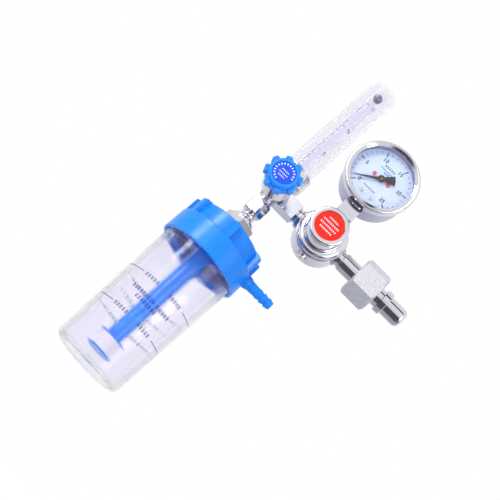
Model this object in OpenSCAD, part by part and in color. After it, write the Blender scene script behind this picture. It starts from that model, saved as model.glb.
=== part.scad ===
// Oxygen flowmeter regulator with a humidifier bottle.
// Z is up, the knob, the label and the dial face -Y, and the cylinder nipple points along +X.
// The origin is on the nipple's axis, on the front face of its shoulder.
// Every piece is a solid of its own, in millimetres.

/* [Layout] */
// Length of the inlet from the nipple's shoulder to the regulator's port
inlet_len = 49.8; // [44:0.1:64]
// Length of the coupling between the regulator and the valve's arm
coupling_len = 4.5; // [4:0.1:20]
// Running gap between turning pieces, on the radius
run_gap = 0.08; // [0.05:0.01:0.1]
// Gap between the crests of two plain threads, on the radius
thread_gap = 0.05; // [0.02:0.01:0.1]
// Free space kept between pieces that must not rub
free_gap = 0.35; // [0.3:0.05:0.6]

/* [Inlet] */
// Radius of the nipple's plain tube
stem_r = 7.8; // [7:0.1:8.2]
// Radius of the nipple's sealing shoulder
shoulder_r = 10.05; // [9.4:0.05:10.2]
// Thickness of the sealing shoulder
shoulder_t = 5.8; // [4:0.1:8]
// Radius of the nipple's nose
nose_r = 8; // [6:0.1:9]
// Length of the nose ahead of the shoulder
nose_len = 17; // [12:0.5:20]
// Rounding at the tip of the nose
nose_round = 4; // [1:0.5:4.5]
// Radius of the gas bore
gas_r = 2.5; // [1.5:0.1:3]
// Radius of the dust filter in the nose
filter_r = 3.6; // [3.2:0.1:4]
// Length of the dust filter
filter_len = 9; // [5:0.5:11]
// Nut size across its flats
nut_af = 31; // [28:0.5:34]
// Length of the nut
nut_len = 22.5; // [18:0.5:24]
// Thickness of the nut's back web
nut_web = 6; // [4:0.5:8]
// Radius of the nut's threaded bore
nut_bore_r = 10.5; // [10.35:0.05:11]
// Distance from the shoulder's front face back to the nut's front face at rest
nut_back = 10.2; // [9:0.1:14]
// Thickness of the slip washer inside the nut
slip_t = 1; // [0.6:0.1:2]

/* [Regulator] */
// Distance from the inlet axis forward to the body's diaphragm face
body_front = 8.5; // [8:0.5:12]
// Distance from the inlet axis back to the body's rear face
body_back = 11.5; // [10:0.5:16]
// Thickness of the bonnet's flange
flange_t = 3; // [2:0.5:5]
// Radius of the bonnet's barrel
barrel_r = 15.4; // [13.8:0.1:17]
// How far the bonnet's flange stands out from its barrel, on the radius
flange_step = 4.4; // [4:0.1:6]
// How far the regulator's body stands out from the flange, on the radius
body_step = 0.9; // [0.5:0.1:4]
// Length of the bonnet from the body face to its rim
bonnet_len = 22.5; // [21:0.5:30]
// Inner radius of the bonnet
bonnet_bore_r = 10.5; // [9.5:0.1:11]
// Radius of the round label in the bonnet's front
label_r = 11.6; // [10:0.1:12.2]
// Thickness of the label
label_t = 0.6; // [0.4:0.1:1]
// Depth of the label's face below the bonnet's rim
label_sink = 0.6; // [0.3:0.1:1.2]
// Thickness of the wall behind the label
bonnet_wall = 3; // [2:0.5:4]
// Thickness of the diaphragm
diaphragm_t = 0.8; // [0.5:0.1:1.2]
// Radius of the chamber under the diaphragm
chamber_r = 14; // [12:0.5:16]
// Depth of the chamber under the diaphragm
chamber_d = 4; // [3:0.5:5]
// Radius of the valve chamber
seat_bore_r = 5.5; // [5:0.1:6.5]
// Depth of the valve chamber below the diaphragm chamber
seat_bore_d = 12; // [11:0.5:13]
// Wire radius of the main spring
spring_wire = 0.9; // [0.7:0.1:1.1]
// Coil radius of the main spring, to the wire's middle
spring_r = 7; // [6:0.1:7.5]
// Turns of the main spring
spring_turns = 3.5; // [3:0.5:4]
// Lift of the valve from shut to open
valve_lift = 0.6; // [0.3:0.1:0.8]
// Radius of the outlet coupling
coupling_r = 7.4; // [6.8:0.1:8]
// Radius of the threaded ports
port_r = 5; // [4.5:0.1:5.4]
// Depth of the threaded ports
port_d = 6; // [5:0.5:7]

/* [Gauge] */
// Height of the gauge's centre above the inlet axis
gauge_rise = 68.6; // [66:0.2:90]
// Radius of the gauge's case
case_r = 28; // [24:0.1:32]
// How far the bezel stands out from the case, on the radius
bezel_step = 2.6; // [2:0.1:4]
// How far the window lies inside the case's outer face, on the radius
window_step = 1.8; // [1.5:0.1:4]
// Distance from the inlet axis forward to the bezel's front
bezel_front = 15.4; // [14:0.2:18]
// Depth of the bezel along its axis
bezel_d = 8; // [6:0.5:10]
// Distance from the inlet axis back to the case's rear
case_back = 16.4; // [14:0.2:20]
// Wall of the case
case_wall = 1.2; // [0.8:0.1:2]
// Width of the square block under the gauge
block_w = 15.4; // [13:0.2:16]
// Height of the block's lower face above the body
block_gap = 4.8; // [3:0.2:6]
// Thickness of the window
lens_t = 1.6; // [1:0.1:2.5]
// Length of the pointer from its centre to its tip
pointer_len = 22.5; // [18:0.5:23]
// Angle of the pointer at rest, from the top, seen from the front
rest_angle = 127; // [120:1:150]

/* [Valve] */
// Height of the valve arm's section
arm_h = 14.4; // [13:0.2:16]
// Depth of the valve arm's section
arm_d = 12.4; // [11:0.2:14]
// Distance from the valve axis to the end of its arm
arm_reach = 24.3; // [22:0.1:26]
// Radius of the upright trunk of the valve body
trunk_r = 7.2; // [7:0.1:9]
// Radius of the packing bonnet under the knob
packing_r = 12.6; // [11:0.1:13.5]
// Radius of the neck between the trunk and the packing bonnet
packing_neck_r = 8; // [7:0.1:9]
// Distance from the valve axis forward to the packing bonnet's rear face
packing_start = 13.5; // [12.5:0.5:14]
// Length of the packing bonnet
packing_len = 17; // [14:0.5:17]
// Radius of the spindle
spindle_r = 3; // [2.5:0.1:3.5]
// Distance from the valve axis forward to the knob's front rim
knob_front = 40.5; // [39.5:0.5:46]
// Length of the knob
knob_len = 9.5; // [8:0.5:9.5]
// Radius of the knob's front rim
knob_rim_r = 12; // [11.4:0.1:12.4]
// Radius to the ends of the knob's lobes
knob_lobe_r = 14.9; // [14.2:0.1:16]
// Width of one lobe of the knob
lobe_w = 5.4; // [4:0.1:6]
// Turn of the first lobe of the knob from the right
lobe_turn = 25; // [0:1:45]
// Number of lobes on the knob
knob_lobes = 8; // [6:1:9]
// Radius of the blue disc in the knob
knob_disc_r = 9.2; // [8:0.1:9.5]

/* [Flow tube] */
// Radius of the chrome socket under the flow tube
socket_r = 14.5; // [14:0.1:16]
// Height of the socket's lower end above the valve axis
socket_low = 10.5; // [9:0.5:12]
// Height of the socket
socket_h = 15.5; // [14:0.5:20]
// Radius of the outer tube
tube_r = 12.4; // [11.5:0.1:12.8]
// Wall of the outer tube
tube_wall = 2; // [1.5:0.1:2.5]
// Height of the outer tube's top above the valve axis
tube_top = 132.4; // [110:0.2:150]
// Rounding of the tube's top edge
tube_round = 3; // [1.5:0.5:4]
// Radius of the float ball
ball_r = 4; // [3:0.1:4.2]
// Wall of the metering tube at its top
meter_wall = 1.5; // [1.2:0.1:2]
// Extra bore of the metering tube at its top, on the radius
meter_taper = 0.7; // [0.3:0.1:1]

/* [Humidifier] */
// Distance from the valve axis down to the union nut's top
union_drop = 12; // [11:0.5:14]
// Union nut size across its flats
union_af = 15.4; // [15:0.1:18]
// Height of the union nut
union_h = 14; // [12:0.5:16]
// Height of the hub's neck below the union nut
hub_neck_h = 5.5; // [4:0.5:8]
// Height of the hub's domed collar
hub_dome_h = 6; // [4:0.5:8]
// Radius of the hub's domed collar
hub_dome_r = 10.8; // [9:0.1:12]
// Radius of the hub's threaded stem
hub_r = 5; // [4.5:0.1:5.5]
// Cap nut size across its flats
cap_nut_af = 25.2; // [22:0.2:27]
// Height of the cap nut
cap_nut_h = 5.5; // [4:0.5:7]
// Height of the cap's sloping crown
crown_h = 5.8; // [4:0.2:7]
// Height of the cap's ribbed band
rib_band_h = 14.4; // [12:0.2:18]
// Height of the cap's plain skirt
skirt_h = 19.4; // [16:0.2:24]
// How far the cap's skirt stands out from the bottle, on the radius
skirt_step = 2.9; // [2.8:0.1:5]
// How far the cap is drawn in between its ribs, on the radius
panel_step = 4.7; // [3.5:0.1:5.5]
// Width of one grip rib
rib_w = 4.6; // [3:0.2:6]
// Turn of the first grip rib from the front
rib_turn = 8; // [0:1:30]
// Wall of the cap's skirt
skirt_wall = 2.2; // [1.6:0.1:2.6]
// Radius of the bottle just under the cap
bottle_r = 32.8; // [30:0.1:40]
// How much the bottle narrows towards its base, on the radius
bottle_draft = 2.9; // [0.5:0.1:4]
// Height of the bottle below the cap's rim
bottle_h = 109.8; // [90:0.2:130]
// Wall of the bottle
bottle_wall = 2; // [1.6:0.1:2.6]
// Rounding of the bottle's base edge
bottle_round = 5; // [3:0.5:8]
// How far the bottle's neck is drawn in, on the radius and without its thread
neck_step = 3.2; // [3:0.1:3.8]
// Height of the bottle's rim above the cap's rim
neck_h = 12; // [10.5:0.5:13]
// Height of the thread on the neck, on the radius
neck_thread = 1.3; // [0.8:0.1:1.5]
// Thickness of the cap's gasket
gasket_t = 2; // [1.5:0.1:3]
// Radius of the dip tube at its foot
dip_r = 6.4; // [5:0.1:7]
// Radius of the dip tube at the cap
dip_top_r = 7.4; // [6.6:0.1:7.6]
// Radius of the diffuser's discs
diffuser_r = 10.9; // [9:0.1:14]
// Height of the diffuser's foot above the bottle's floor
diffuser_rise = 10.5; // [6:0.5:14]
// Height of the diffuser, over both discs
diffuser_h = 14.5; // [12:0.5:18]
// Thickness of one diffuser disc
diffuser_disc = 1.6; // [1:0.1:2]
// Length of the hose barb beyond the skirt
barb_len = 26; // [20:0.5:30]
// Radius of the barb's crests
barb_r = 4.3; // [3.8:0.1:4.8]
// Radius of the barb's root
barb_root_r = 3.6; // [3.2:0.1:3.8]
// Distance of the barb's axis below the ribbed band
barb_drop = 3; // [1:0.5:6]

/* [Hidden] */
$fn = 96;
// How far the regulator's threaded bosses stand out of it
boss_out = 0.5;
flange_r = barrel_r + flange_step;
body_r = flange_r + body_step;
inlet_face = -inlet_len;
reg_x = inlet_face - body_r - boss_out;
outlet_face = reg_x - body_r - boss_out;
arm_end = outlet_face - coupling_len;
valve_x = arm_end - arm_reach;
// The gauge's rings and the bottle's, each from the one they fit
bezel_r = case_r + bezel_step;
window_r = case_r - window_step;
dial_gap = 0.2;
dial_r = case_r - case_wall - dial_gap;
skirt_r = bottle_r + skirt_step;
panel_r = skirt_r - panel_step;
neck_r = bottle_r - neck_step;
bottle_low_r = bottle_r - bottle_draft;
body_face = -body_front;
bonnet_rim = body_face - bonnet_len;
// The label's seat, and the spring space behind its wall
label_seat = bonnet_rim + label_sink + label_t;
spring_space = label_seat + bonnet_wall;
adjuster_r = 4;
button_t = 2;
button_r = 9;
plate_t = 1.5;
plate_r = 8.2;
diaphragm_r = flange_r - 2.8;
rivet_r = 2;
seat_t = 3;
chamber_floor = body_face + chamber_d;
seat_back = chamber_floor + seat_t;
poppet_r = 3.4;
poppet_t = 3;
pin_r = 0.9;
back_spring_r = 2.4;
back_spring_wire = 0.35;
relief_r = 4.2;
relief_out = 0.8;
union_top = -union_drop;
union_low = union_top - union_h;
dome_top = union_low - hub_neck_h;
dome_low = dome_top - hub_dome_h;
cap_top = dome_low - cap_nut_h;
rib_top = cap_top - crown_h;
skirt_top = rib_top - rib_band_h;
cap_rim = skirt_top - skirt_h;
bottle_low = cap_rim - bottle_h;
cap_wall = 2.4;
ceiling = rib_top - cap_wall;
bottle_top = cap_rim + neck_h;
ledge = bottle_top + gasket_t;
thread_bore = neck_r + neck_thread + free_gap;
gasket_in = neck_r - bottle_wall - 0.4;
head_r = gasket_in - 0.4;
barb_z = skirt_top - barb_drop;
diffuser_low = bottle_low + bottle_wall + diffuser_rise;
diffuser_top = diffuser_low + diffuser_h;
dip_bore = hub_r - 1;
socket_top = socket_low + socket_h;
spigot_h = 3;
tube_seat = socket_low + spigot_h + 1.5;
meter_r = ball_r + meter_taper + meter_wall + run_gap;
meter_low = socket_low + spigot_h;
meter_room = 2.5;
meter_top = tube_top - tube_wall - meter_room;
ball_rest = meter_top - ball_r;
stop_h = 3;
gauge_y0 = -bezel_front;
lens_front = gauge_y0 + 1.8;
pointer_y = lens_front + lens_t + 1.6;
dial_y = pointer_y + 2.2;
dial_t = 0.6;
block_low = body_r + block_gap;
block_top = gauge_rise - case_r - 0.2;
arbor_r = 0.9;
knob_back = -knob_front + knob_len;
disc_sink = 0.6;
disc_t = 0.8;
washer_r = nut_bore_r - 0.6;
web_front = -nut_back - nut_len + nut_web;
// The regulator's ports and the passages between its chambers
port_boss_r = 8.3;
gauge_face = body_r + block_gap / 2;
passage_y = chamber_floor + 0.4;
plate_gap = 0.95;
plate_face = body_face - diaphragm_t - plate_gap - plate_t;
// The gauge's movement, in shares of its dial and block
inner_w = 0.65 * block_w;
inner_drop = 0.677 * dial_r;
inner_top = gauge_rise - inner_drop;
movement_w = 0.677 * dial_r;
movement_top = 0.225 * dial_r;
frame_t = 0.8;
plate_front = dial_y + dial_t;
rear_plate = plate_front + 6.8;
sector_y = plate_front + 3.2;
sector_drop = 0.508 * dial_r;
pinion_r = 1.2;
pivot_gap = 0.06;
dial_screw_places = dial_r * [[-0.27, 0.015], [0.27, 0.015], [-0.195, -0.662], [0.195, -0.662]];
// The valve's outlet, spigots and gas passages
outlet_r = 5.2;
outlet_low = union_top - 8;
union_lip = 1.6;
lip_bore = outlet_r - 1;
union_seal_t = 1.2;
needle_seat = -2.5;
return_x = 4.3;
return_r = 0.9;
return_z = -5.5;
packing_bore_r = 5.5;
packing_floor = -packing_start + 7;
packing_ring_t = 1.5;
// The knob's seats, from its front
disc_seat = -knob_front + disc_sink + disc_t;
screw_seat = disc_seat + 1.8;
knob_web = 0.8;
knob_screw_r = 1.5;
// The cap's centre boss and barb, and the seal under it
boss_r = 11;
boss_low = ceiling - 1;
seal_t = 1.5;
dip_flange = boss_low - seal_t;
hub_tail = 12;
hub_foot = ceiling - hub_tail;
seal_r = 9;
collar_r = seal_r + 0.5;
post_r = dip_bore + 0.8;
barb_tip = skirt_r + barb_len;

// A piece turned about an axis that runs along Y, drawn from y0 towards the back
module on_y(x, z, y0) {
    translate([x, y0, z]) rotate([-90, 0, 0]) children();
}

// A piece turned about the inlet axis, drawn from x0 towards the nose
module on_x(x0, z = 0) {
    translate([x0, 0, z]) rotate([0, 90, 0]) children();
}

// A piece turned about the valve and bottle axis
module on_valve(z0) {
    translate([valve_x, 0, z0]) children();
}

// A straight bore or shaft from one height to another
module shaft(r, low, high) {
    translate([0, 0, low]) cylinder(r = r, h = high - low);
}

module ring(outer, inner, low, high) {
    difference() {
        shaft(outer, low, high);
        shaft(inner, low - 1, high + 1);
    }
}

// A hexagonal bar with both ends turned off to a cone
module hex_bar(af, h, chamfer) {
    corner = af / 2 / cos(30);
    intersection() {
        cylinder(r = corner, h = h, $fn = 6);
        rotate_extrude() polygon([
            [0, 0], [corner - chamfer, 0], [corner, chamfer * 0.6],
            [corner, h - chamfer * 0.6], [corner - chamfer, h], [0, h]
        ]);
    }
}

// A wire wound into a helix between two heights, as a chain of short sweeps
function coil_point(r, turns, low, high, t) =
    [r * cos(360 * turns * t), r * sin(360 * turns * t), low + (high - low) * t];

function coil_faces(rings, sides) = concat(
    [[for (j = [sides - 1:-1:0]) j]],
    [for (i = [0:rings - 2]) for (j = [0:sides - 1]) [
        i * sides + j, i * sides + (j + 1) % sides,
        (i + 1) * sides + (j + 1) % sides, (i + 1) * sides + j
    ]],
    [[for (j = [0:sides - 1]) (rings - 1) * sides + j]]
);

module coil(r, wire, turns, low, high) {
    steps = ceil(turns * 16);
    sides = 8;
    points = [for (i = [0:steps]) let (t = i / steps, a = 360 * turns * t,
            c = coil_point(r, turns, low + wire, high - wire, t))
        for (j = [0:sides - 1]) let (b = 360 * j / sides)
            c + wire * [cos(b) * cos(a), cos(b) * sin(a), sin(b)]];
    polyhedron(points = points, faces = coil_faces(steps + 1, sides), convexity = 8);
}

// A flat piece seen from the front, with its front face at y0
module face_plate(x, z, y0, t) {
    translate([x, y0 + t, z]) rotate([90, 0, 0]) linear_extrude(height = t) children();
}

// Points along an arc, for turned profiles
function arc(cx, cy, r, from, to, steps = 6) =
    [for (i = [0:steps]) let (a = from + (to - from) * i / steps) [cx + r * cos(a), cy + r * sin(a)]];

// Inlet: nipple, filter, nut and slip washer

module inlet_nipple() {
    x0 = inlet_face - port_d;
    relief_neck = 2.5;
    color("silver") difference() {
        on_x(x0) rotate_extrude() polygon(concat([
            [0, 0], [port_r - thread_gap, 0], [port_r - thread_gap, port_d],
            [stem_r - 1.2, port_d], [stem_r - 1.2, port_d + relief_neck],
            [stem_r, port_d + relief_neck + 0.8], [stem_r, -x0 - shoulder_t],
            [shoulder_r - 0.4, -x0 - shoulder_t], [shoulder_r, -x0 - shoulder_t + 0.4],
            [shoulder_r, -x0 - 0.4], [shoulder_r - 0.4, -x0], [nose_r, -x0]],
            arc(nose_r - nose_round, nose_len - nose_round - x0, nose_round, 0, 90),
            [[0, nose_len - x0]]));
        on_x(x0 - 1) cylinder(r = gas_r, h = nose_len - x0 + 2);
        on_x(nose_len - filter_len - 1) cylinder(r = filter_r, h = filter_len + 2);
    }
}

module inlet_filter() {
    color("darkgoldenrod") on_x(nose_len - filter_len - 1) cylinder(r = filter_r - thread_gap,
        h = filter_len);
}

module inlet_nut() {
    nut_turn = 6.5;
    color("lightgray") on_x(-nut_back - nut_len) difference() {
        rotate([0, 0, nut_turn]) hex_bar(nut_af, nut_len, 3.2);
        translate([0, 0, -1]) cylinder(r = stem_r + run_gap, h = nut_len + 2);
        translate([0, 0, nut_web]) cylinder(r = nut_bore_r, h = nut_len);
        translate([0, 0, nut_len - 1]) cylinder(r1 = nut_bore_r, r2 = nut_bore_r + 1.2, h = 1.01);
    }
}

module slip_washer() {
    color("goldenrod") on_x(web_front + thread_gap) ring(washer_r, stem_r + run_gap, 0, slip_t);
}

// Regulator: body, bonnet and what they hold
module regulator_body() {
    length = body_front + body_back;
    edge = 3;
    color("silver") difference() {
        union() {
            on_y(reg_x, 0, body_face) rotate_extrude() polygon(concat(
                [[0, 0], [body_r - 0.5, 0], [body_r, 0.5]],
                arc(body_r - edge, length - edge, edge, 0, 90), [[0, length]]));
            on_x(outlet_face) cylinder(r = port_boss_r, h = inlet_face - outlet_face);
            translate([reg_x, 0, 0]) cylinder(r = port_boss_r, h = gauge_face);
            translate([reg_x, 0, -body_r - boss_out]) cylinder(r = relief_r + 1.2, h = body_r);
        }
        on_y(reg_x, 0, body_face - 1) cylinder(r = chamber_r, h = chamber_d + 1);
        on_y(reg_x, 0, chamber_floor - 1) cylinder(r = seat_bore_r, h = seat_bore_d + 1);
        on_x(inlet_face - port_d) cylinder(r = port_r, h = port_d + 1);
        on_x(reg_x) cylinder(r = gas_r, h = body_r);
        on_x(outlet_face - 1) cylinder(r = port_r, h = port_d + 1);
        translate([outlet_face + port_d - 1, passage_y, 0]) rotate([0, 90, 0]) cylinder(r = 1.5, h = 6);
        translate([reg_x, 0, gauge_face - port_d]) cylinder(r = port_r, h = port_d + 1);
        translate([reg_x, 0, 0]) cylinder(r = 1.5, h = body_r);
        translate([reg_x, 0, -body_r - boss_out - 1]) cylinder(r = relief_r - 1.2, h = port_d + 1);
        translate([reg_x, passage_y, port_d - body_r - 1]) cylinder(r = 1.5, h = 6);
    }
}

module regulator_bonnet() {
    seat = diaphragm_r + thread_gap;
    shoulder = body_face - flange_t;
    dome = 0.45 * flange_step;
    fillet = dome;
    groove = 0.5;
    rim = 1.6;
    color("silver") on_y(reg_x, 0, 0) difference() {
        rotate_extrude() polygon(concat(
            [[0, body_face], [flange_r - 0.4, body_face], [flange_r, body_face - 0.4], [flange_r,
                shoulder]],
            arc(flange_r - dome, shoulder, dome, 0, -90),
            arc(barrel_r + fillet, shoulder - dome - fillet, fillet, 90, 180),
            [[barrel_r, bonnet_rim + 2 * rim + 0.8], [barrel_r - groove, bonnet_rim + 2 * rim + 0.4],
            [barrel_r - groove, bonnet_rim + 2 * rim - 0.2], [barrel_r, bonnet_rim + 2 * rim - 0.6]],
            arc(barrel_r - rim, bonnet_rim + rim, rim, 0, -90),
            [[0, bonnet_rim]]));
        shaft(seat, body_face - diaphragm_t, body_face + 1);
        shaft(bonnet_bore_r, spring_space, body_face + 1);
        shaft(adjuster_r + thread_gap, label_seat - 1, spring_space + 1);
        shaft(label_r + thread_gap, bonnet_rim - 1, label_seat);
    }
}

module label_disc() {
    color("red") on_y(reg_x, 0, 0) shaft(label_r, label_seat - label_t, label_seat);
}

module adjusting_screw() {
    color("gray") on_y(reg_x, 0, 0) difference() {
        shaft(adjuster_r, label_seat + 0.2, spring_space + 1);
        translate([0, 0, label_seat - 1]) cylinder(r = 2.3, h = 3.2, $fn = 6);
    }
}

module spring_button() {
    back = spring_space + 1 + button_t;
    color("goldenrod") on_y(reg_x, 0, 0) union() {
        shaft(button_r, back - button_t, back);
        shaft(spring_r - spring_wire - 0.3, back, back + 1.5);
    }
}

module main_spring() {
    front = spring_space + 1 + button_t;
    back = plate_face;
    color("dimgray") on_y(reg_x, 0, 0) coil(spring_r, spring_wire, spring_turns, front + 0.05, back - 0.05);
}

module diaphragm_plate() {
    color("goldenrod") on_y(reg_x, 0, 0) union() {
        shaft(plate_r, plate_face, plate_face + plate_t);
        shaft(rivet_r, plate_face, chamber_floor - 1.2);
    }
}

module diaphragm() {
    color("black") on_y(reg_x, 0, 0) ring(diaphragm_r, rivet_r + 0.3, body_face - diaphragm_t, body_face);
}

module seat_nozzle() {
    color("goldenrod") on_y(reg_x, 0, 0) difference() {
        union() {
            shaft(seat_bore_r - thread_gap, chamber_floor, seat_back);
            shaft(2.2, seat_back, seat_back + 0.4);
        }
        shaft(1.4, chamber_floor - 1, seat_back + 1);
    }
}

module poppet() {
    front = seat_back + 0.45;
    color("dimgray") on_y(reg_x, 0, 0) union() {
        shaft(poppet_r, front, front + poppet_t);
        shaft(pin_r, chamber_floor - 1.2, front);
    }
}

module poppet_spring() {
    front = seat_back + 0.45 + poppet_t + valve_lift + 0.1;
    back = chamber_floor + seat_bore_d;
    color("dimgray") on_y(reg_x, 0, 0) coil(back_spring_r, back_spring_wire, 3, front, back);
}

module relief_valve() {
    low = -body_r - boss_out;
    color("goldenrod") translate([reg_x, 0, 0]) difference() {
        union() {
            shaft(relief_r - 1.2 - thread_gap, low, low + port_d);
            shaft(relief_r, low - relief_out, low);
        }
        shaft(0.8, low - relief_out - 1, low + port_d + 1);
    }
}

module outlet_coupling() {
    groove = coupling_len / 4;
    groove_d = 1.2;
    color("silver") difference() {
        union() {
            on_x(arm_end) rotate_extrude() polygon([
                [0, 0], [coupling_r, 0], [coupling_r, coupling_len / 2 - groove],
                [coupling_r - groove_d, coupling_len / 2 - groove / 2],
                [coupling_r - groove_d, coupling_len / 2 + groove / 2],
                [coupling_r, coupling_len / 2 + groove], [coupling_r, coupling_len], [0, coupling_len]
            ]);
            on_x(arm_end - port_d + 0.5) cylinder(r = port_r - thread_gap,
                h = outlet_face - arm_end + 2 * port_d - 1);
        }
        on_x(arm_end - port_d) cylinder(r = gas_r, h = outlet_face - arm_end + 2 * port_d);
    }
}

// Gauge
module gauge_stem() {
    depth = block_w - 1.4;
    low = gauge_face - port_d + 0.5;
    front = plate_front + frame_t;
    color("silver") translate([reg_x, 0, 0]) difference() {
        union() {
            shaft(port_r - thread_gap, low, block_low);
            translate([-block_w / 2, -depth / 2, block_low]) cube([block_w, depth, block_top - block_low]);
            translate([-inner_w / 2, front, block_low]) cube([inner_w, 4 - front, inner_top - block_low]);
        }
        shaft(1.2, low - 1, inner_top - 3);
    }
}

module gauge_case() {
    front = lens_front + lens_t;
    edge = 3;
    color("silver") difference() {
        on_y(reg_x, gauge_rise, 0) rotate_extrude() polygon(concat(
            [[case_r, front]], arc(case_r - edge, case_back - edge, edge, 0, 90), [[0, case_back],
            [0, case_back - case_wall]],
            arc(case_r - edge, case_back - edge, edge - case_wall, 90, 0), [[case_r - case_wall, front]]));
        translate([reg_x - inner_w / 2 - 0.3, plate_front + frame_t - 0.3, block_low])
            cube([inner_w + 0.6, 4.6 - plate_front - frame_t, inner_top - block_low - 2]);
    }
}

module gauge_bezel() {
    lip = lens_front;
    color("silver") on_y(reg_x, gauge_rise, 0) difference() {
        rotate_extrude() polygon(concat([[window_r, gauge_y0 + 0.6], [window_r + 0.6, gauge_y0]],
            arc(bezel_r - 2, gauge_y0 + 2, 2, -90, 0),
            [[bezel_r, gauge_y0 + bezel_d - 0.8], [bezel_r - 0.8, gauge_y0 + bezel_d],
            [window_r, gauge_y0 + bezel_d]]));
        shaft(case_r + thread_gap, lip, 0);
    }
}

module gauge_lens() {
    color([0.85, 0.9, 1, 0.3]) on_y(reg_x, gauge_rise, 0) shaft(case_r - 0.1, lens_front,
        lens_front + lens_t);
}

module gauge_dial() {
    color("aliceblue") on_y(reg_x, gauge_rise, 0) difference() {
        shaft(dial_r, dial_y, dial_y + dial_t);
        shaft(1.6, dial_y - 1, dial_y + dial_t + 1);
        for (p = dial_screw_places) translate([p[0], -p[1], dial_y - 1]) cylinder(r = 1.1, h = 3);
    }
}

module dial_screws() {
    color("indianred") on_y(reg_x, gauge_rise, 0) for (p = dial_screw_places) translate([p[0], -p[1], 0]) {
        shaft(1.7, dial_y - 0.7, dial_y);
        shaft(1, dial_y, plate_front + frame_t - 0.1);
    }
}

// The pointer is drawn upright and then turned to where it rests
module gauge_pointer() {
    pointer_t = 0.5;
    tail = 11.5;
    color("black") translate([reg_x, pointer_y, gauge_rise]) rotate([90, -rest_angle, 0])
        translate([0, 0, -pointer_t]) difference() {
            union() {
                cylinder(r = 3, h = pointer_t);
                linear_extrude(height = pointer_t)
                    polygon([[-1.3, 1], [-0.3, pointer_len], [0.3, pointer_len], [1.3, 1]]);
                linear_extrude(height = pointer_t)
                    polygon([[-1.4, -1], [1.4, -1], [4, 0.5 - tail], [0, -tail], [-4, 0.5 - tail]]);
            }
            translate([0, 0, -1]) cylinder(r = arbor_r + 0.02, h = 3);
        }
}

module pinion_arbor() {
    color("goldenrod") on_y(reg_x, gauge_rise, 0) union() {
        shaft(arbor_r, pointer_y - 0.3, rear_plate + frame_t);
        shaft(pinion_r, sector_y - 0.6, sector_y + 1.4);
    }
}

module movement_plate(y0, low) {
    face_plate(reg_x, gauge_rise, y0, frame_t) difference() {
        translate([-movement_w / 2, low]) square([movement_w, movement_top - low]);
        circle(r = arbor_r + pivot_gap);
        translate([0, -sector_drop]) circle(r = arbor_r + pivot_gap);
        for (p = dial_screw_places) translate(p) circle(r = 1.05);
    }
}

module movement_frame() {
    pillar_r = 1;
    inset = 1.6;
    pillar_x = movement_w / 2 - inset;
    rear_low = 0.4 - inner_drop;
    color("goldenrod") union() {
        movement_plate(plate_front, -2 - inner_drop);
        movement_plate(rear_plate, rear_low);
        for (x = [-pillar_x, pillar_x]) for (z = [rear_low + inset, movement_top - inset])
            on_y(reg_x + x, gauge_rise + z, plate_front + frame_t) cylinder(r = pillar_r,
                h = rear_plate - plate_front - frame_t);
    }
}

module sector_gear() {
    rim = sector_drop - pinion_r - 0.3;
    reach = 1.4 * rim;
    teeth_from = -7;
    teeth_to = 37;
    arm_half = 1.2;
    color("goldenrod") union() {
        face_plate(reg_x, gauge_rise - sector_drop, sector_y, 0.8) union() {
            circle(r = 2.2);
            intersection() {
                difference() {
                    circle(r = rim);
                    circle(r = rim - 2);
                }
                polygon([[0, 0], reach * [sin(teeth_from), cos(teeth_from)],
                    reach * [sin(teeth_to), cos(teeth_to)]]);
            }
            intersection() {
                circle(r = rim);
                polygon([[-arm_half, 0], [arm_half, 0], reach * [sin(29), cos(29)],
                    reach * [sin(13), cos(13)]]);
            }
        }
        on_y(reg_x, gauge_rise - sector_drop, plate_front + 0.1)
            cylinder(r = arbor_r, h = rear_plate + frame_t - plate_front - 0.2);
    }
}

// The tube's root is cut flat where it meets the gauge's block
module bourdon_tube() {
    bend_r = inner_drop + 1;
    centre_y = 4.5;
    tube_t = 2;
    flat_w = 4.4;
    color("goldenrod") difference() {
        translate([reg_x, centre_y, gauge_rise]) rotate([90, 0, 0]) rotate([0, 0, -80])
            rotate_extrude(angle = 256) translate([bend_r, 0]) union() {
                square([tube_t, flat_w], center = true);
                for (s = [-1, 1]) translate([0, s * flat_w / 2]) circle(r = tube_t / 2);
            }
        translate([reg_x, centre_y, inner_top]) cube([inner_w, 4 * flat_w, bend_r / 2], center = true);
    }
}

// Valve: body, packing, spindle and knob
// Gas comes along the arm, past the needle and up the middle, and returns beside it to the outlet
module valve_body() {
    color("silver") difference() {
        union() {
            translate([valve_x - trunk_r, -arm_d / 2, -arm_h / 2]) cube([arm_reach + trunk_r, arm_d,
                arm_h]);
            on_valve(0) shaft(trunk_r, union_top + 4, socket_low);
            on_valve(0) shaft(6.6, union_top, 0);
            on_valve(0) shaft(outlet_r - thread_gap, outlet_low, 0);
            on_valve(0) shaft(packing_bore_r, 0, socket_low + spigot_h);
            on_y(valve_x, 0, -packing_start) cylinder(r = packing_neck_r, h = packing_start);
        }
        on_x(arm_end - port_d) cylinder(r = port_r, h = port_d + 1);
        translate([valve_x + 1, needle_seat - 0.9, 0]) rotate([0, 90, 0]) cylinder(r = 1.2,
            h = arm_reach - 2);
        on_valve(0) shaft(2, needle_seat, socket_low + spigot_h + 1);
        on_valve(0) shaft(2, outlet_low - 1, return_z + return_r);
        on_valve(0) translate([-return_x, 0, return_z]) cylinder(r = return_r,
            h = socket_low + spigot_h + 7);
        on_x(valve_x - return_x, return_z) cylinder(r = return_r, h = return_x);
        on_y(valve_x, 0, -packing_start - 1) cylinder(r = packing_bore_r,
            h = packing_floor + packing_start + 1);
        on_y(valve_x, 0, -packing_start) cylinder(r = spindle_r + run_gap, h = packing_start + needle_seat);
        on_y(valve_x, 0, needle_seat - 1) cylinder(r = 1.2, h = 2);
    }
}

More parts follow.
